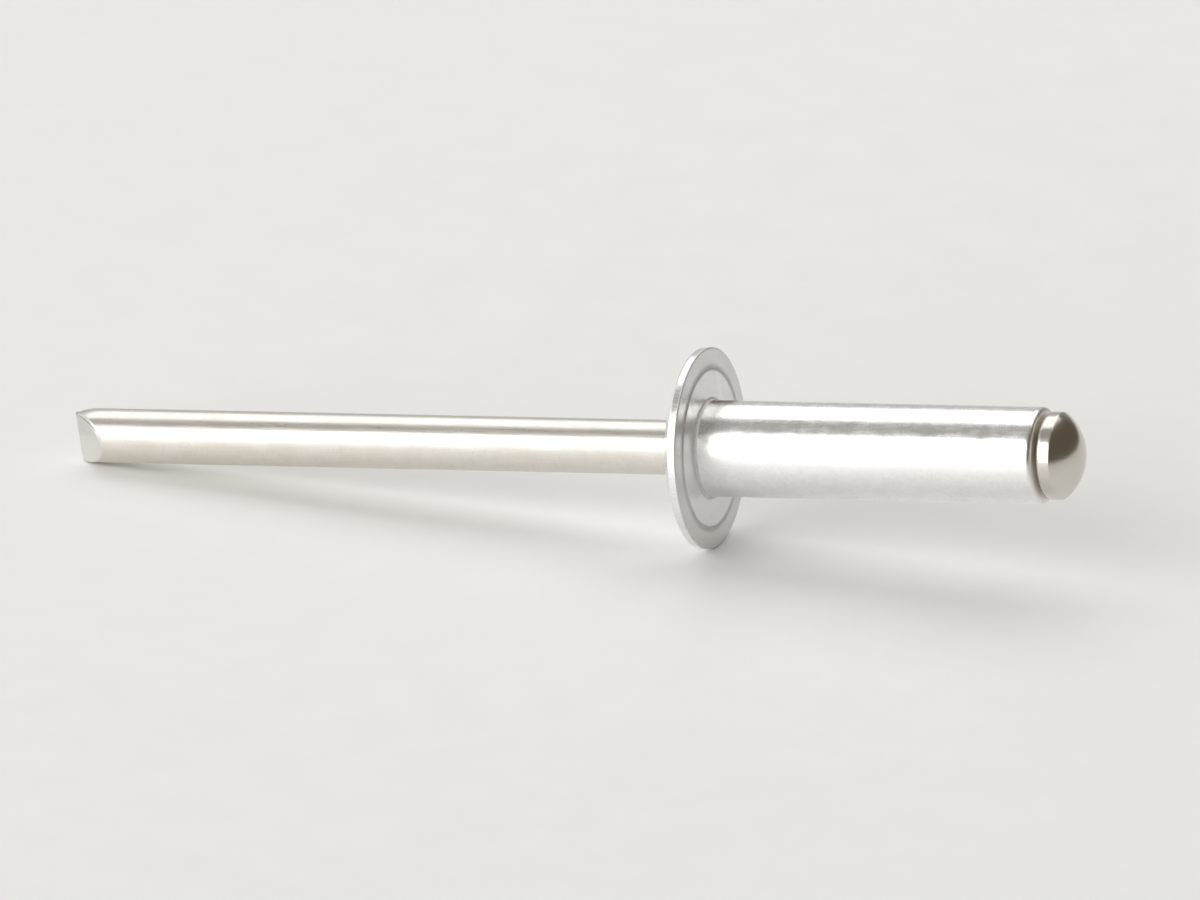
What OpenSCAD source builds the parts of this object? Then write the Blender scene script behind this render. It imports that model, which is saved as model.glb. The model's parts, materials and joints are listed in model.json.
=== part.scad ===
// Open-end blind rivet with a low domed head, unset, lying as it comes to rest.
// The axis runs from the cropped tail of the mandrel, through the head of the body, to the mandrel's head.
// Origin: centre of the head's underside, which is the face that bears on the sheet.

/* [Shank] */
// Outer diameter of the hollow shank
shank_d = 4.0; // [3.6:0.1:4.6]
// Length of the shank, from the underside of the head to the blind end
shank_len = 14.7; // [10:0.1:20]
// Radius on the outer edge of the blind end
end_round = 0.22; // [0.1:0.02:0.4]
// Fillet between the shank and the underside of the head
root_round = 0.1; // [0.05:0.01:0.4]

/* [Head of the body] */
// Diameter of the domed head
head_d = 8.35; // [7.6:0.05:9.2]
// Height of the domed head above its underside
head_h = 1.5; // [1.2:0.05:1.7]
// Radius between the rim's straight side and the underside
rim_low_r = 0.06; // [0.03:0.01:0.1]
// Width of the rim's straight side
rim_side = 0.22; // [0.1:0.02:0.3]
// Radius between the rim's straight side and the dome
rim_high_r = 0.13; // [0.08:0.01:0.2]
// Diameter of the bearing disc on the underside, inside its ring groove
seat_d = 6.45; // [5.8:0.05:6.8]
// Width of the shallow ring groove around the bearing disc
groove_w = 0.2; // [0.1:0.02:0.26]
// Depth of that groove
groove_t = 0.03; // [0.03:0.01:0.08]
// How far the ring outside the groove lies back from the bearing disc
ring_drop = 0.02; // [0.01:0.01:0.03]
// Radius on the mouth of the bore, in the middle of the dome
mouth_round = 0.22; // [0.1:0.02:0.3]

/* [Mandrel] */
// Diameter of the mandrel's wire
wire_d = 2.27; // [1.9:0.01:2.5]
// Gap between the wire and the wall of the bore, all round
bore_gap = 0.05; // [0.02:0.01:0.1]
// Length of wire that stands out of the domed head
pull_len = 26.75; // [18:0.05:34]

/* [Head of the mandrel] */
// Diameter of the mandrel's head
knob_d = 3.62; // [3.3:0.02:3.9]
// Gap between the blind end and the edge of the mandrel's head
knob_gap = 0.22; // [0.15:0.01:0.5]
// Length of the straight side of the mandrel's head
knob_side = 0.52; // [0.3:0.02:0.9]
// Height of the dome on the mandrel's head
knob_dome = 0.88; // [0.7:0.02:1.2]
// Radius between the straight side and the dome
knob_round = 0.14; // [0.05:0.01:0.2]
// Width of the conical seat that the head has in the mouth of the bore
knob_seat = 0.12; // [0.06:0.02:0.2]

/* [Break neck] */
// Distance from the blind end to the middle of the break neck
neck_depth = 3.2; // [2:0.1:6]
// Width of each pinched notch along the wire
notch_w = 0.9; // [0.5:0.1:1.4]
// Depth of each pinched notch
notch_t = 0.28; // [0.1:0.01:0.4]
// Length of the flat at the bottom of each notch
notch_flat = 0.2; // [0.1:0.05:0.4]

/* [Cropped tail] */
// Angle between each cropped facet and the axis
crop_angle = 37; // [30:1:55]
// Width of the blunt edge where the two facets meet
crop_edge = 0.12; // [0.06:0.02:0.3]
// Turn of that edge about the axis, with 0 standing upright
crop_turn = 5; // [0:1:40]

/* [Hidden] */
$fn = 96;

shank_r = shank_d / 2;
head_r = head_d / 2;
seat_r = seat_d / 2;
wire_r = wire_d / 2;
knob_r = knob_d / 2;
bore_r = wire_r + bore_gap;

// Over-length that carries every cut clear of the surfaces it passes through
spare = 1;
// How far a round stands proud of the arc that it blends into, so that the two curves cross
proud = 0.0001;

// The point that lies beyond (x, y) by a distance, on the line to it from (0, centre_y)
function beyond(x, y, centre_y, distance) =
    let (stretch = 1 + distance / norm([x, y - centre_y]))
    [x * stretch, centre_y + (y - centre_y) * stretch];

// The rim's straight side runs from low_y to high_y, with a round at each end of it
ring_y = -ring_drop;
low_x = head_r - rim_low_r;
low_y = ring_y - rim_low_r;
high_x = head_r - rim_high_r;
high_y = low_y - rim_side;

// Dome of the head: an arc through its top that touches the rim's round on that side from outside
dome_rise = high_y + head_h;
blend_r = rim_high_r - proud;
dome_r = (pow(high_x, 2) + pow(dome_rise, 2) - pow(blend_r, 2)) / (2 * (dome_rise - blend_r));
dome_y = dome_r - head_h;

// The mouth's round touches that arc from inside, and the wall of the bore
mouth_x = bore_r + mouth_round;
mouth_y = dome_y - sqrt(pow(dome_r - mouth_round + proud, 2) - pow(mouth_x, 2));

// Conical underside of the mandrel's head, which seats in a chamfer of the same slope
cone_r = bore_r + knob_seat;
cone_slope = knob_gap / (knob_r - cone_r);
cone_low_y = shank_len - cone_slope * (cone_r - wire_r);
knob_y = shank_len + knob_gap;
knob_top_y = knob_y + knob_side + knob_dome;

// Dome of the mandrel's head: an arc from the top of its side to its top
cap_r = (pow(knob_r, 2) + pow(knob_dome, 2)) / (2 * knob_dome);
cap_y = knob_top_y - cap_r;
// Centre of the small round that touches that arc and the side
knob_round_x = knob_r - knob_round;
knob_round_y = cap_y + sqrt(pow(cap_r - knob_round + proud, 2) - pow(knob_round_x, 2));

tail_y = -head_h - pull_len;

// How far a point reaches below the axis, for an axis that rises by the angle lie
function drop(y, r, lie) = r * cos(lie) - y * sin(lie);

// A point on the outline of the cropped tail, at an angle turn from straight down: [y, depth below the axis]
function crop_away(turn) = max(0, wire_r * abs(sin(turn - crop_turn)) - crop_edge / 2);
function crop_point(turn) = [tail_y + crop_away(turn) / tan(crop_angle), wire_r * cos(turn)];

// Angle of the line that passes under the rim's round and under one point of the tail
function lie_over(point) =
    let (run = high_y - point[0], rise = high_x - point[1])
    atan2(rise, run) + asin(rim_high_r / norm([run, rise]));

// The rivet rests on its rim and on the lowest point of its tail
first_lie = lie_over(crop_point(crop_turn));
crop_drops = [for (turn = [-45 : 0.5 : 45]) drop(crop_point(turn)[0], crop_point(turn)[1], first_lie)];
lowest_turn = -45 + 0.5 * search(max(crop_drops), crop_drops)[0];
lie_angle = lie_over(crop_point(lowest_turn));

// Turn of the body about its own axis, so that the seam of its round faces lies beside its point of contact
body_turn = 2.8;

// Turns a shape that is built along +Z onto the rivet's axis as it lies
module along_axis() {
    rotate([0, 90 - lie_angle, 0]) children();
}

// A quarter-round corner of solid, with its corner at the origin and its arc facing away
module fillet(r) {
    difference() {
        square(r);
        translate([r, r]) circle(r);
    }
}

// Domed head in half section: dome, rim, outer ring, ring groove and bearing disc
module head_section() {
    intersection() {
        translate([0, dome_y]) circle(dome_r, $fn = 4 * $fn);
        polygon([
            [0, -head_h - spare],
            [0, low_y],
            [high_x, low_y],
            [high_x, high_y],
            beyond(high_x, high_y, dome_y, spare)
        ]);
    }
    translate([high_x, high_y]) circle(rim_high_r);
    translate([low_x, low_y]) circle(rim_low_r);
    polygon([
        [0, high_y],
        [0, 0],
        [seat_r, 0],
        [seat_r + groove_w / 2, -groove_t],
        [seat_r + groove_w, ring_y],
        [low_x, ring_y],
        [low_x, low_y],
        [head_r, low_y],
        [head_r, high_y]
    ]);
}

// Shank in half section, with its rounded blind end and its root fillet
module shank_section() {
    translate([0, high_y]) square([shank_r, shank_len - end_round - high_y]);
    square([shank_r - end_round, shank_len]);
    translate([shank_r - end_round, shank_len - end_round]) circle(end_round);
    translate([shank_r, 0]) fillet(root_round);
}

// Bore in half section, with its rounded mouth and the conical seat at the blind end
module bore_section() {
    translate([0, -head_h - spare]) square([bore_r, head_h + shank_len + 2 * spare]);
    difference() {
        polygon([
            [0, mouth_y],
            [mouth_x, mouth_y],
            beyond(mouth_x, mouth_y, dome_y, spare),
            [0, -head_h - 2 * spare]
        ]);
        translate([mouth_x, mouth_y]) circle(mouth_round);
    }
    polygon([
        [0, shank_len - cone_slope * knob_seat],
        [bore_r, shank_len - cone_slope * knob_seat],
        [cone_r + spare, shank_len + cone_slope * spare],
        [0, shank_len + cone_slope * spare]
    ]);
}

// Aluminium body: domed head, shank and bore, drawn in one piece
module rivet_body() {
    color([0.80, 0.81, 0.82])
    along_axis()
    rotate([0, 0, body_turn])
    difference() {
        union() {
            rotate_extrude() head_section();
            rotate_extrude() shank_section();
        }
        rotate_extrude() bore_section();
    }
}

// Head of the mandrel in half section: conical underside, straight side, small round and dome
module knob_section() {
    polygon([
        [0, cone_low_y],
        [wire_r, cone_low_y],
        [knob_r, knob_y],
        [knob_r, knob_round_y],
        [0, knob_round_y]
    ]);
    translate([knob_round_x, knob_round_y]) circle(knob_round);
    intersection() {
        translate([0, cap_y]) circle(cap_r);
        polygon([
            [0, knob_y],
            [knob_round_x, knob_y],
            [knob_round_x, knob_round_y],
            beyond(knob_round_x, knob_round_y, cap_y, spare),
            [0, knob_top_y + spare]
        ]);
    }
}

// One pinched notch of the break neck, cut across the wire on its +X side
module neck_notch() {
    notch_x = wire_r - notch_t;
    translate([0, wire_r + spare, shank_len - neck_depth])
        rotate([90, 0, 0])
            linear_extrude(2 * (wire_r + spare))
                polygon([
                    [notch_x, -notch_flat / 2],
                    [wire_r, -notch_w / 2],
                    [wire_r + spare, -notch_w / 2],
                    [wire_r + spare, notch_w / 2],
                    [wire_r, notch_w / 2],
                    [notch_x, notch_flat / 2]
                ]);
}

// The wedge that two cropping blades leave, with its edge upright before it is turned
module crop_wedge() {
    wedge_x = wire_r + spare;
    wedge_y = tail_y + (wedge_x - crop_edge / 2) / tan(crop_angle);
    rotate([0, 0, crop_turn])
        rotate([90, 0, 90])
            translate([0, 0, -wedge_x])
                linear_extrude(2 * wedge_x)
                    polygon([
                        [-crop_edge / 2, tail_y],
                        [crop_edge / 2, tail_y],
                        [wedge_x, wedge_y],
                        [wedge_x, knob_top_y + spare],
                        [-wedge_x, knob_top_y + spare],
                        [-wedge_x, wedge_y]
                    ]);
}

// Steel mandrel: cropped wire, break neck inside the body, and domed head
module mandrel() {
    color([0.72, 0.69, 0.65])
    along_axis()
    difference() {
        intersection() {
            union() {
                rotate_extrude() knob_section();
                translate([0, 0, tail_y]) cylinder(h = knob_y - tail_y, r = wire_r);
            }
            crop_wedge();
        }
        for (turn = [0 : 90 : 270]) {
            rotate([0, 0, turn]) neck_notch();
        }
    }
}

rivet_body();
mandrel();
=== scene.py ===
"""Looks of the blind rivet: finer meshes of its two pieces, their metals, the studio and camera.

The sizes below and the half sections are in millimetres. Meshes, lights and camera are in metres.
A half section is a list of (r, y) points: r is the distance from the rivet's axis, and y runs
along the axis from the seat under the domed head, positive towards the blind end.
"""

import json
from math import asin, atan2, ceil, cos, pi, radians, sin, sqrt, tan

import bmesh
import bpy
from mathutils import Matrix, Vector


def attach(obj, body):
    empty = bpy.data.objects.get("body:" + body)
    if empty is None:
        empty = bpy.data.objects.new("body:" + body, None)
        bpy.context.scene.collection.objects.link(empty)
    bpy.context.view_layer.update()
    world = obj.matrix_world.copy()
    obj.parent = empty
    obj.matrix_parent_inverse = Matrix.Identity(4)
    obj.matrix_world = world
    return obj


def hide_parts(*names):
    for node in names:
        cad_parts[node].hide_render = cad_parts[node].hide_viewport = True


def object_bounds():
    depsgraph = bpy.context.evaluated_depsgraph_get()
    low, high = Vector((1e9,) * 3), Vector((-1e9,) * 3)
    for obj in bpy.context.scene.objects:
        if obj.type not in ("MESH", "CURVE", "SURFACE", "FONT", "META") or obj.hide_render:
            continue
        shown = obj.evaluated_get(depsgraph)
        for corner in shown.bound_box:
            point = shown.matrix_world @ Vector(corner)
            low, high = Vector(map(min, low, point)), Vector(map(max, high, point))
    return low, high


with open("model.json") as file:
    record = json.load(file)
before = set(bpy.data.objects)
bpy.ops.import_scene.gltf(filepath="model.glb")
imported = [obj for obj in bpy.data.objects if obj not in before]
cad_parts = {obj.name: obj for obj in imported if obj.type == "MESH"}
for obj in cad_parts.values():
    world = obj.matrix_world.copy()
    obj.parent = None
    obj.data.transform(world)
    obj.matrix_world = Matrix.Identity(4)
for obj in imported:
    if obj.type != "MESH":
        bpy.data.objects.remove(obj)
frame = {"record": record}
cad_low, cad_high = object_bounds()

MM = 0.001

# The same sizes as the CAD model's, in millimetres
SHANK_R = 2.0
SHANK_LEN = 14.7
END_ROUND = 0.22
ROOT_ROUND = 0.1
HEAD_R = 4.175
HEAD_H = 1.5
RIM_LOW_R = 0.06
RIM_SIDE = 0.22
RIM_HIGH_R = 0.13
SEAT_R = 3.225
GROOVE_W = 0.2
GROOVE_T = 0.03
RING_DROP = 0.02
MOUTH_ROUND = 0.22
WIRE_R = 1.135
BORE_R = 1.185
PULL_LEN = 26.75
KNOB_R = 1.81
KNOB_GAP = 0.22
KNOB_SIDE = 0.52
KNOB_DOME = 0.88
KNOB_ROUND = 0.14
KNOB_SEAT = 0.12
NECK_DEPTH = 3.2
NOTCH_W = 0.9
NOTCH_T = 0.28
NOTCH_FLAT = 0.2
CROP_ANGLE = radians(37)
CROP_EDGE = 0.12
CROP_TURN = radians(5)

# Places along the axis that follow from them
TAIL_Y = -PULL_LEN - HEAD_H
NECK_Y = SHANK_LEN - NECK_DEPTH
KNOB_Y = SHANK_LEN + KNOB_GAP
KNOB_TOP = KNOB_Y + KNOB_SIDE + KNOB_DOME
# Edge of the conical seat in the blind end, and the slope that it shares with the mandrel's head
CONE_R = BORE_R + KNOB_SEAT
CONE_SLOPE = KNOB_GAP / (KNOB_R - CONE_R)

# The sizes from here on are in these meshes only.
# How far the cropping blades drag the tip's upper side down, and over what length
DRAG = 0.15
DRAG_LEN = 1.0
# Radius of the worn edges that the CAD model leaves sharp
WORN = 0.025
# Radius of the shallow bends of the ring groove
SOFT = 0.2
# Radius between the straight side of the mandrel's head and its cone
KNOB_EDGE = 0.18
# Width of the worn corner round the cropped end, and softness of the bends beside its blunt edge
TAIL_WORN = 0.05
TAIL_SOFT = 0.03
# Distance from the tip to the first ring of vertices that stands square on the wire
TAIL_REACH = 2.5
# Width of the narrow faces beside each round, which keep the shading of the long faces flat
GUARD = 0.02
# Longest face along a half section
LONGEST = 0.6

BODY_SEGMENTS = 288

# The rivet's axis as it lies, and two directions across it: `down` points to the floor
axis = Vector(frame["record"]["mounts"][0]["axis"]).normalized()
across = Vector((0, 1, 0))
down = Vector((axis.z, 0, -axis.x))
lie = atan2(axis.z, axis.x)


def place(r, y, turn):
    """The point at r and y of the half section, turned about the axis from straight down."""
    return (axis * y + (down * cos(turn) + across * sin(turn)) * r) * MM


def arc(centre, radius, start, end, steps):
    """Points on an arc of the half section, from the angle start to the angle end, in radians."""
    turns = [start + (end - start) * i / steps for i in range(steps + 1)]
    return [(centre[0] + radius * cos(t), centre[1] + radius * sin(t)) for t in turns]


def rounded(corners, steps):
    """A half section through corners (r, y, radius), each rounded to its radius and guarded."""
    path = [corners[0][:2]]
    for before, corner, after in zip(corners, corners[1:], corners[2:]):
        here = Vector(corner[:2])
        back = Vector(before[:2]) - here
        on = Vector(after[:2]) - here
        half = back.angle(on) / 2
        reach = corner[2] / tan(half)
        back.normalize()
        on.normalize()
        centre = here + (back + on).normalized() * corner[2] / sin(half)
        first = here + back * reach - centre
        last = here + on * reach - centre
        sweep = first.angle_signed(last)
        path.append(tuple(here + back * (reach + GUARD)))
        for i in range(steps + 1):
            path.append(tuple(centre + Matrix.Rotation(-sweep * i / steps, 2) @ first))
        path.append(tuple(here + on * (reach + GUARD)))
    path.append(corners[-1][:2])
    return path


def spaced(path):
    """The same path with its long faces cut into even ones."""
    out = [path[0]]
    for (r0, y0), (r1, y1) in zip(path, path[1:]):
        parts = max(1, ceil(sqrt((r1 - r0) ** 2 + (y1 - y0) ** 2) / LONGEST))
        for i in range(1, parts + 1):
            out.append((r0 + (r1 - r0) * i / parts, y0 + (y1 - y0) * i / parts))
    return out


def mesh_object(name, bm):
    """A smooth-shaded object from bm, riding on the rivet."""
    bmesh.ops.recalc_face_normals(bm, faces=bm.faces)
    mesh = bpy.data.meshes.new(name)
    bm.to_mesh(mesh)
    bm.free()
    mesh.shade_smooth()
    piece = bpy.data.objects.new(name, mesh)
    bpy.context.scene.collection.objects.link(piece)
    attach(piece, "root")
    return piece


def join_rings(bm, rings, closed):
    """Faces between each ring of vertices and the next, and back to the first ring if closed."""
    pairs = list(zip(rings, rings[1:]))
    if closed:
        pairs.append((rings[-1], rings[0]))
    for low, high in pairs:
        count = len(low)
        for i in range(count):
            j = (i + 1) % count
            bm.faces.new((low[i], low[j], high[j], high[i]))


def body_section():
    """Closed half section of the aluminium body, from the bore's blind end round to its mouth."""
    cone_foot = SHANK_LEN - CONE_SLOPE * KNOB_SEAT
    low_y = -RING_DROP - RIM_LOW_R
    high_x = HEAD_R - RIM_HIGH_R
    high_y = low_y - RIM_SIDE
    dome_rise = high_y + HEAD_H
    dome_r = (high_x**2 + dome_rise**2 - RIM_HIGH_R**2) / (2 * (dome_rise - RIM_HIGH_R))
    dome_y = dome_r - HEAD_H
    rim_turn = atan2(high_y - dome_y, high_x)
    mouth_x = BORE_R + MOUTH_ROUND
    mouth_y = dome_y - sqrt((dome_r - MOUTH_ROUND) ** 2 - mouth_x**2)
    mouth_turn = atan2(mouth_y - dome_y, mouth_x)
    # Plain wall before the first corner of each part: in the bore, and on the shank
    bore_run = 0.2
    shank_run = 1.0

    path = rounded([
        (BORE_R, cone_foot - bore_run, 0),
        (BORE_R, cone_foot, WORN),
        (CONE_R, SHANK_LEN, WORN),
        (SHANK_R, SHANK_LEN, END_ROUND),
        (SHANK_R, 0, 0),
    ], steps=8)[:-1]
    path += rounded([
        (SHANK_R, shank_run, 0),
        (SHANK_R, 0, ROOT_ROUND),
        (SEAT_R, 0, SOFT),
        (SEAT_R + GROOVE_W / 2, -GROOVE_T, SOFT),
        (SEAT_R + GROOVE_W, -RING_DROP, SOFT),
        (HEAD_R, -RING_DROP, RIM_LOW_R),
        (HEAD_R, high_y, 0),
    ], steps=6)[:-1]
    path += arc((high_x, high_y), RIM_HIGH_R, 0, rim_turn, steps=16)
    path += arc((0, dome_y), dome_r, rim_turn, mouth_turn, steps=30)[1:]
    path += arc((mouth_x, mouth_y), MOUTH_ROUND, mouth_turn, -pi, steps=12)[1:]
    path.append((BORE_R, mouth_y + GUARD))
    return spaced(path)


def make_body():
    bm = bmesh.new()
    turns = [2 * pi * i / BODY_SEGMENTS for i in range(BODY_SEGMENTS)]
    rings = [[bm.verts.new(place(r, y, t)) for t in turns] for r, y in body_section()]
    join_rings(bm, rings, closed=True)
    return mesh_object("body_skin", bm)


def crop_rise(d):
    """How far the cropped end stands back from its edge, at a distance d from the edge's plane."""
    flat = abs(d) - CROP_EDGE / 2
    return (flat + sqrt(flat * flat + TAIL_SOFT * TAIL_SOFT)) / 2 / tan(CROP_ANGLE)


# The rows of points on the cropped end, by their distance from its edge's plane as a share of its
# radius: at set angles over the facets, and close together at the bends beside the blunt edge
FACET_ANGLES = (8, 12, 16, 20, 25, 30, 35, 40, 45, 50, 55, 60, 65, 70)
BEND_DISTANCES = (0.02, 0.04, 0.05, 0.06, 0.07, 0.085, 0.11)
CROP_ROWS = sorted(
    [s * sin(radians(a)) for a in FACET_ANGLES for s in (1, -1)]
    + [s * d / WIRE_R for d in BEND_DISTANCES for s in (1, -1)]
    + [0]
)
CROP_COLUMNS = 28


def crop_turns():
    """Angles of the vertices round the wire, so that rows on its cropped end follow its edge."""
    side = [CROP_TURN + asin(row) for row in CROP_ROWS]
    first, last = side[0], side[-1]
    far = [2 * CROP_TURN + pi - t for t in reversed(side)]
    top = [last + (far[0] - last) * i / CROP_COLUMNS for i in range(1, CROP_COLUMNS)]
    span = first + 2 * pi - far[-1]
    bottom = [far[-1] + span * i / CROP_COLUMNS for i in range(1, CROP_COLUMNS)]
    return side, top, far, bottom


def dragged(turn):
    """Share of the drag at an angle turn: 1 on the tip's upper side and 0 on its lower half."""
    return max(0, -cos(turn - CROP_TURN))


def tail_rings(bm, turns):
    """Rings of vertices from the rim of the cropped end almost to the first square ring."""
    rings = []
    # The worn corner
    steps = 5
    for i in range(steps + 1):
        t = i / steps
        rings.append([])
        for turn in turns:
            r = WIRE_R - TAIL_WORN * (1 - t) ** 2 - DRAG * dragged(turn)
            d = sin(turn - CROP_TURN)
            inner = crop_rise((WIRE_R - TAIL_WORN) * d)
            outer = crop_rise(WIRE_R * d)
            y = inner * (1 - t) ** 2 + 2 * outer * t * (1 - t) + (outer + TAIL_WORN) * t * t
            rings[-1].append(bm.verts.new(place(r, TAIL_Y + y, turn)))
    # The wire behind it
    steps = 9
    for i in range(1, steps):
        t = i / steps
        rings.append([])
        for turn in turns:
            start = crop_rise(WIRE_R * sin(turn - CROP_TURN)) + TAIL_WORN
            y = start + (TAIL_REACH - start) * t * t
            r = WIRE_R - DRAG * max(0, 1 - y / DRAG_LEN) ** 2 * dragged(turn)
            rings[-1].append(bm.verts.new(place(r, TAIL_Y + y, turn)))
    return rings


def close_tail(bm, rim, side, top):
    """Faces of the cropped end, in rows along its edge from one side of its rim to the other."""
    end_r = WIRE_R - TAIL_WORN
    rows = len(side)
    far = rows + len(top)
    left = rim[:rows]
    right = list(reversed(rim[far:far + rows]))
    grid = [[left[0]] + list(reversed(rim[far + rows:])) + [right[0]]]
    for k in range(1, rows - 1):
        d = end_r * CROP_ROWS[k]
        half = sqrt(end_r**2 - d * d)
        row = [left[k]]
        for i in range(1, CROP_COLUMNS):
            c = half * (1 - 2 * i / CROP_COLUMNS)
            turn = CROP_TURN + atan2(d, c)
            row.append(bm.verts.new(place(sqrt(c * c + d * d), TAIL_Y + crop_rise(d), turn)))
        grid.append(row + [right[k]])
    grid.append([left[-1]] + rim[rows:far] + [right[-1]])
    for low, high in zip(grid, grid[1:]):
        for i in range(len(low) - 1):
            bm.faces.new((low[i], low[i + 1], high[i + 1], high[i]))


def mandrel_section():
    """Half section of the mandrel, from its wire past the break neck to the middle of its head."""
    cone_low = SHANK_LEN - CONE_SLOPE * (CONE_R - WIRE_R)
    cap_r = (KNOB_R**2 + KNOB_DOME**2) / (2 * KNOB_DOME)
    cap_y = KNOB_TOP - cap_r
    round_x = KNOB_R - KNOB_ROUND
    round_y = cap_y + sqrt((cap_r - KNOB_ROUND) ** 2 - round_x**2)
    round_turn = atan2(round_y - cap_y, round_x)
    # Half the number of rings across the break neck
    half = 10
    # How far short of the round above it the straight side's last point lies
    side_stop = 0.05

    path = [(WIRE_R, TAIL_Y + TAIL_REACH), (WIRE_R, NECK_Y - NOTCH_W / 2)]
    path += [(WIRE_R, NECK_Y + NOTCH_W * i / (2 * half)) for i in range(1 - half, half)]
    path += rounded([
        (WIRE_R, NECK_Y + NOTCH_W / 2, 0),
        (WIRE_R, cone_low, WORN),
        (KNOB_R, KNOB_Y, KNOB_EDGE),
        (KNOB_R, round_y - side_stop, 0),
    ], steps=5)
    path += arc((round_x, round_y), KNOB_ROUND, 0, round_turn, steps=10)
    path += arc((0, cap_y), cap_r, round_turn, pi / 2, steps=40)[1:-1]
    return spaced(path)


def wire_radius(r, y, turn):
    """The radius r at y and turn, less what the four pinched notches of the break neck take."""
    off = abs(y - NECK_Y)
    if off >= NOTCH_W / 2:
        return r
    slope = NOTCH_T / (NOTCH_W / 2 - NOTCH_FLAT / 2)
    depth = min(NOTCH_T, slope * (NOTCH_W / 2 - off))
    nearest = (turn + pi / 4) % (pi / 2) - pi / 4
    return min(r, (WIRE_R - depth) / cos(nearest))


def make_mandrel():
    bm = bmesh.new()
    side, top, far, bottom = crop_turns()
    turns = side + top + far + bottom
    rings = tail_rings(bm, turns)
    for r, y in mandrel_section():
        rings.append([bm.verts.new(place(wire_radius(r, y, t), y, t)) for t in turns])
    join_rings(bm, rings, closed=False)
    pole = bm.verts.new(place(0, KNOB_TOP, 0))
    crown = rings[-1]
    for i in range(len(crown)):
        bm.faces.new((crown[i], crown[(i + 1) % len(crown)], pole))
    close_tail(bm, rings[0], side, top)
    return mesh_object("mandrel_skin", bm)


class Nodes:
    """The node tree of a material or a world, built from its coordinates on."""

    def __init__(self, owner):
        owner.use_nodes = True
        self.owner = owner
        self.tree = owner.node_tree
        self.count = 0

    def add(self, kind, **values):
        """A new node, laid out in columns of five."""
        node = self.tree.nodes.new(kind)
        node.location = (-260 * (1 + self.count // 5), -220 * (self.count % 5))
        self.count += 1
        for name, value in values.items():
            setattr(node, name, value)
        return node

    def link(self, output, socket):
        self.tree.links.new(output, socket)

    def feed(self, value, socket):
        """Gives socket a value, which is a number, a colour or another node's output."""
        if hasattr(value, "is_linked"):
            self.link(value, socket)
        else:
            socket.default_value = value

    def math(self, operation, a, b=0.0):
        node = self.add("ShaderNodeMath", operation=operation)
        self.feed(a, node.inputs[0])
        self.feed(b, node.inputs[1])
        return node.outputs[0]

    def times(self, a, b):
        return self.math("MULTIPLY", a, b)

    def raised(self, value, amounts):
        """value plus each amount times its mask, for (mask, amount) pairs."""
        for mask, amount in amounts:
            value = self.math("ADD", value, self.times(mask, amount))
        return value

    def span(self, value, low, high, to_low=0.0, to_high=1.0):
        """value taken from the range low to high to another range, smoothly and clamped."""
        node = self.add("ShaderNodeMapRange", interpolation_type="SMOOTHSTEP")
        for socket, number in zip(node.inputs, (value, low, high, to_low, to_high)):
            self.feed(number, socket)
        return node.outputs[0]

    def split(self, vector):
        node = self.add("ShaderNodeSeparateXYZ")
        self.link(vector, node.inputs[0])
        return node.outputs

    def along(self, scale=None):
        """Coordinates in millimetres with x along the rivet's axis, scaled."""
        coordinates = self.add("ShaderNodeTexCoord")
        mapping = self.add("ShaderNodeMapping")
        mapping.inputs["Rotation"].default_value = (0, lie, 0)
        mapping.inputs["Scale"].default_value = (1 / MM, 1 / MM, 1 / MM)
        self.link(coordinates.outputs["Object"], mapping.inputs["Vector"])
        if scale is None:
            return mapping.outputs[0]
        stretch = self.add("ShaderNodeVectorMath", operation="MULTIPLY")
        self.link(mapping.outputs[0], stretch.inputs[0])
        stretch.inputs[1].default_value = scale
        return stretch.outputs[0]

    def turned_places(self):
        """Coordinates in millimetres, and from them y, the height over the axis and the radius."""
        place_mm = self.along()
        y, sideways, height = self.split(place_mm)
        square = self.math("ADD", self.times(sideways, sideways), self.times(height, height))
        return place_mm, y, height, self.math("SQRT", square)

    def noise(self, vector, scale, detail, rough):
        node = self.add("ShaderNodeTexNoise")
        self.link(vector, node.inputs["Vector"])
        node.inputs["Scale"].default_value = scale
        node.inputs["Detail"].default_value = detail
        node.inputs["Roughness"].default_value = rough
        return node.outputs["Fac"]

    def mix(self, factor, a, b):
        node = self.add("ShaderNodeMix", data_type="RGBA")
        self.feed(factor, node.inputs["Factor"])
        colours = [s for s in node.inputs if s.type == "RGBA"]
        self.feed(a, colours[0])
        self.feed(b, colours[1])
        return [s for s in node.outputs if s.type == "RGBA"][0]

    def painted(self, colour, coats):
        """colour under coats, which are (mask, colour) pairs."""
        for mask, coat in coats:
            colour = self.mix(mask, colour, coat)
        return colour

    def bump(self, height, millimetres, normal=None):
        """A bump of that height for each unit of height."""
        node = self.add("ShaderNodeBump")
        node.inputs["Strength"].default_value = 1.0
        node.inputs["Distance"].default_value = millimetres * MM
        self.link(height, node.inputs["Height"])
        if normal is not None:
            self.link(normal, node.inputs["Normal"])
        return node.outputs[0]


def new_material(name, uniform):
    """The nodes of a new material, and the inputs of its shader with the uniform ones set."""
    n = Nodes(bpy.data.materials.new(name))
    inputs = n.tree.nodes["Principled BSDF"].inputs
    for socket, value in uniform.items():
        inputs[socket].default_value = value
    return n, inputs


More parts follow.
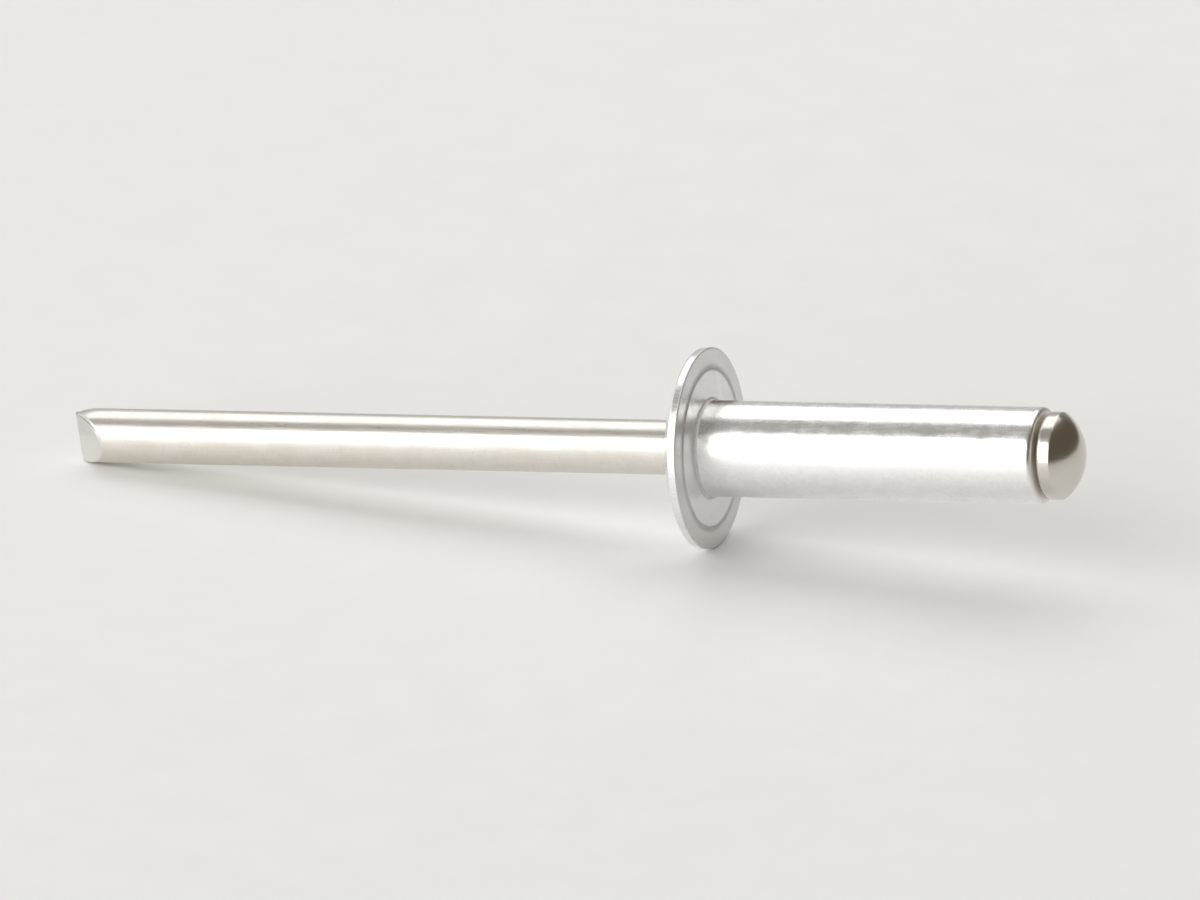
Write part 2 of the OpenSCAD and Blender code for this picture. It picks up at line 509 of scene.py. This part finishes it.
def aluminium():
    n, shader = new_material("bright_aluminium", {"Metallic": 1.0})
    place_mm, y, height, radius = n.turned_places()

    # Where each finish and each painted shade lies, from 0 to 1 over the widths given
    groove_end = SEAT_R + GROOVE_W
    on_head = n.span(radius, SHANK_R + 0.05, SHANK_R + 0.3)
    underside = n.times(on_head, n.span(y, -0.08, -0.06))
    outer_ring = n.times(underside, n.span(radius, SEAT_R - 0.08, SEAT_R + 0.08))
    # The groove's mask, also where its painted shade goes
    groove_painted_shade = n.times(outer_ring, n.span(radius, groove_end + 0.14, groove_end - 0.06))
    rim_edge = n.times(n.span(radius, HEAD_R - 0.08, HEAD_R - 0.05), n.span(y, -0.10, -0.07))
    # Where the shank meets the head, where shade is painted
    root_painted_shade = n.times(n.span(radius, SHANK_R + 0.16, SHANK_R + 0.10), n.span(y, 0.16, 0.10))
    root_painted_shade = n.times(root_painted_shade, n.span(y, -0.4, -0.3))
    blind_end_painted_shade = n.span(y, SHANK_LEN - 0.12, SHANK_LEN - 0.03)
    low_side = n.span(n.math("DIVIDE", height, radius), 0.35, -0.15)
    low_side = n.times(low_side, n.math("SUBTRACT", 1.0, on_head))

    mottle = n.noise(place_mm, scale=1.6, detail=3.0, rough=0.55)
    fine = n.noise(place_mm, scale=7.0, detail=3.0, rough=0.6)
    streak = n.noise(n.along((0.12, 1, 1)), scale=9.0, detail=2.0, rough=0.5)
    ring = n.add("ShaderNodeCombineXYZ")
    n.link(radius, ring.inputs[0])
    rings = n.noise(ring.outputs[0], scale=5.0, detail=3.0, rough=0.6)

    tone = n.mix(n.span(mottle, 0.35, 0.65), (0.92, 0.918, 0.91, 1), (0.88, 0.877, 0.866, 1))
    tone = n.painted(tone, [
        (n.span(fine, 0.45, 0.75), (0.84, 0.836, 0.825, 1)),
        (n.times(underside, 0.5), (0.80, 0.80, 0.80, 1)),
        (outer_ring, (0.74, 0.74, 0.725, 1)),
        # painted shade: the groove is coloured darker for the shade in it
        (groove_painted_shade, (0.66, 0.655, 0.64, 1)),
        # painted shade: the shank and the head's corner are coloured darker by the root, where the
        # head keeps light off
        (root_painted_shade, (0.81, 0.805, 0.79, 1)),
        # painted shade: the blind end is coloured darker and browner for the shade of the gap
        # before the mandrel's head
        (blind_end_painted_shade, (0.87, 0.86, 0.835, 1)),
    ])
    n.link(tone, shader["Base Color"])

    rough = n.math(
        "ADD",
        n.span(mottle, 0.3, 0.7, to_low=0.20, to_high=0.29),
        n.span(streak, 0.3, 0.7, to_low=-0.03, to_high=0.04),
    )
    rough = n.raised(rough, [
        (underside, 0.085),
        (low_side, 0.24),
        (groove_painted_shade, 0.25),
        (root_painted_shade, 0.45),
        (blind_end_painted_shade, 0.18),
        (rim_edge, 0.25),
    ])
    n.link(rough, shader["Roughness"])

    normal = n.bump(mottle, 0.008)
    normal = n.bump(fine, 0.0006, normal)
    normal = n.bump(streak, 0.0010, normal)
    normal = n.bump(n.times(rings, on_head), 0.004, normal)
    n.link(normal, shader["Normal"])
    return n.owner


def plated_steel():
    n, shader = new_material("plated_steel_wire", {"Metallic": 1.0})
    place_mm, y, height, radius = n.turned_places()

    on_wire = n.span(y, SHANK_LEN + 0.05, SHANK_LEN - 0.05)
    # The cone under the mandrel's head, and all of the wire; on the cone a warmer brown is painted
    # for the shade of the gap
    under_head_painted_brown = n.span(y, KNOB_Y + 0.08, KNOB_Y)
    low_side = n.span(n.math("DIVIDE", height, radius), 0.65, -0.05)
    low_side = n.times(low_side, on_wire)
    cut = n.span(y, -PULL_LEN, -PULL_LEN - 0.1)
    cut = n.times(n.span(radius, WIRE_R - 0.02, WIRE_R - 0.06), cut)

    mottle = n.noise(place_mm, scale=1.1, detail=3.0, rough=0.55)
    fine = n.noise(place_mm, scale=9.0, detail=3.0, rough=0.6)
    drawn = n.noise(n.along((0.04, 1, 1)), scale=16.0, detail=2.0, rough=0.5)

    wire_tone = n.mix(n.span(mottle, 0.35, 0.65), (0.75, 0.725, 0.675, 1), (0.73, 0.70, 0.648, 1))
    wire_tone = n.mix(n.span(fine, 0.5, 0.8), wire_tone, (0.68, 0.65, 0.60, 1))
    # painted shade: a warmer brown on the cone under the head, for the brown shade of the gap
    knob_tone = n.mix(under_head_painted_brown, (0.665, 0.637, 0.585, 1), (0.76, 0.695, 0.60, 1))
    tone = n.mix(on_wire, knob_tone, wire_tone)
    tone = n.mix(cut, tone, (0.70, 0.70, 0.67, 1))
    n.link(tone, shader["Base Color"])

    rough = n.math(
        "ADD",
        n.span(mottle, 0.3, 0.7, to_low=0.19, to_high=0.22),
        n.span(drawn, 0.3, 0.7, to_low=-0.03, to_high=0.04),
    )
    rough = n.raised(rough, [(on_wire, -0.05), (low_side, 0.39), (under_head_painted_brown, 0.15)])
    n.link(rough, shader["Roughness"])

    normal = n.bump(mottle, 0.002)
    normal = n.bump(fine, 0.0008, normal)
    normal = n.bump(n.times(drawn, on_wire), 0.0020, normal)
    n.link(normal, shader["Normal"])
    return n.owner


def floor_material():
    n, shader = new_material("pale_floor", {"Specular IOR Level": 0.3, "Roughness": 0.5})
    grain = n.noise(n.along(), scale=0.35, detail=4.0, rough=0.6)
    colour = n.mix(n.span(grain, 0.3, 0.7), (0.856, 0.853, 0.847, 1), (0.868, 0.865, 0.859, 1))
    n.link(colour, shader["Base Color"])
    return n.owner


def make_floor():
    bm = bmesh.new()
    bmesh.ops.create_grid(bm, x_segments=8, y_segments=8, size=3.0)
    bmesh.ops.translate(bm, verts=bm.verts, vec=(0, 0, cad_low.z))
    mesh = bpy.data.meshes.new("floor")
    bm.to_mesh(mesh)
    bm.free()
    floor = bpy.data.objects.new("floor", mesh)
    bpy.context.scene.collection.objects.link(floor)
    floor.data.materials.append(floor_material())


def area_light(name, at, towards, size, radiance):
    """A soft light whose face has that radiance, where 1 is what a white background has."""
    light = bpy.data.lights.new(name, "AREA")
    light.shape = "RECTANGLE"
    light.size, light.size_y = size
    light.energy = radiance * pi * size[0] * size[1]
    lamp = bpy.data.objects.new(name, light)
    bpy.context.scene.collection.objects.link(lamp)
    lamp.location = at
    lamp.rotation_euler = (Vector(towards) - Vector(at)).to_track_quat("-Z", "Y").to_euler()
    lamp.visible_camera = False


def make_room():
    """The world: a pale room with a dim top, dim low walls behind, and a dark warm right side."""
    world = bpy.data.worlds.new("room")
    bpy.context.scene.world = world
    n = Nodes(world)
    to_right, to_back, upward = n.split(n.add("ShaderNodeTexCoord").outputs["Generated"])
    # The dark side takes in more of what is behind, and a little of what is in front
    aside = n.math("MAXIMUM", n.times(to_back, 0.35), n.times(to_back, -0.085))
    aside = n.math("ADD", to_right, aside)
    low = n.mix(n.span(to_back, 0.3, 0.8), (0.95, 0.95, 0.94, 1), (0.50, 0.50, 0.49, 1))
    walls = n.mix(n.span(upward, 0.35, 0.85), low, (0.38, 0.37, 0.35, 1))
    room = n.mix(n.span(aside, 0.15, 0.7), walls, (0.125, 0.104, 0.077, 1))
    n.link(room, n.tree.nodes["Background"].inputs["Color"])


# The camera has the photo's viewing angle, from far away with a long lens
AZIMUTH = radians(20.4)
ELEVATION = radians(20.5)
DISTANCE = 0.9
SENSOR_WIDTH = 36.0
PIXELS_PER_MM = 24.24
IMAGE_WIDTH = 1200
# Where the middle of the picture lies from the origin, in millimetres
MIDDLE_RIGHT = -4.60
MIDDLE_UP = -0.073


def make_camera():
    right = Vector((cos(AZIMUTH), sin(AZIMUTH), 0))
    back = Vector((
        sin(AZIMUTH) * cos(ELEVATION),
        -cos(AZIMUTH) * cos(ELEVATION),
        sin(ELEVATION),
    ))
    up = back.cross(right)
    target = (right * MIDDLE_RIGHT + up * MIDDLE_UP) * MM
    data = bpy.data.cameras.new("camera")
    data.sensor_width = SENSOR_WIDTH
    data.lens = SENSOR_WIDTH * DISTANCE / (IMAGE_WIDTH / PIXELS_PER_MM * MM)
    data.clip_start = 0.05
    data.clip_end = 20.0
    camera = bpy.data.objects.new("camera", data)
    bpy.context.scene.collection.objects.link(camera)
    camera.location = target + back * DISTANCE
    camera.rotation_mode = "QUATERNION"
    camera.rotation_quaternion = Matrix((right, up, back)).transposed().to_quaternion()
    return camera


# Pieces
body = make_body()
body.data.materials.append(aluminium())
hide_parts("rivet_body")

mandrel = make_mandrel()
mandrel.data.materials.append(plated_steel())
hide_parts("mandrel")

# Studio: one soft light above and behind the rivet, and a wide one in front
make_floor()
area_light(
    "key",
    at=(-0.07, 0.48, 0.60),
    towards=(-0.07, 0.48, 0.0),
    size=(0.94, 0.82),
    radiance=1.32,
)
area_light(
    "front",
    at=(-0.409, -0.598, 0.308),
    towards=(-0.209, 0.002, -0.052),
    size=(1.16, 0.64),
    radiance=2.05,
)
make_room()

bpy.context.scene.camera = make_camera()
bpy.context.scene.view_settings.view_transform = "Standard"
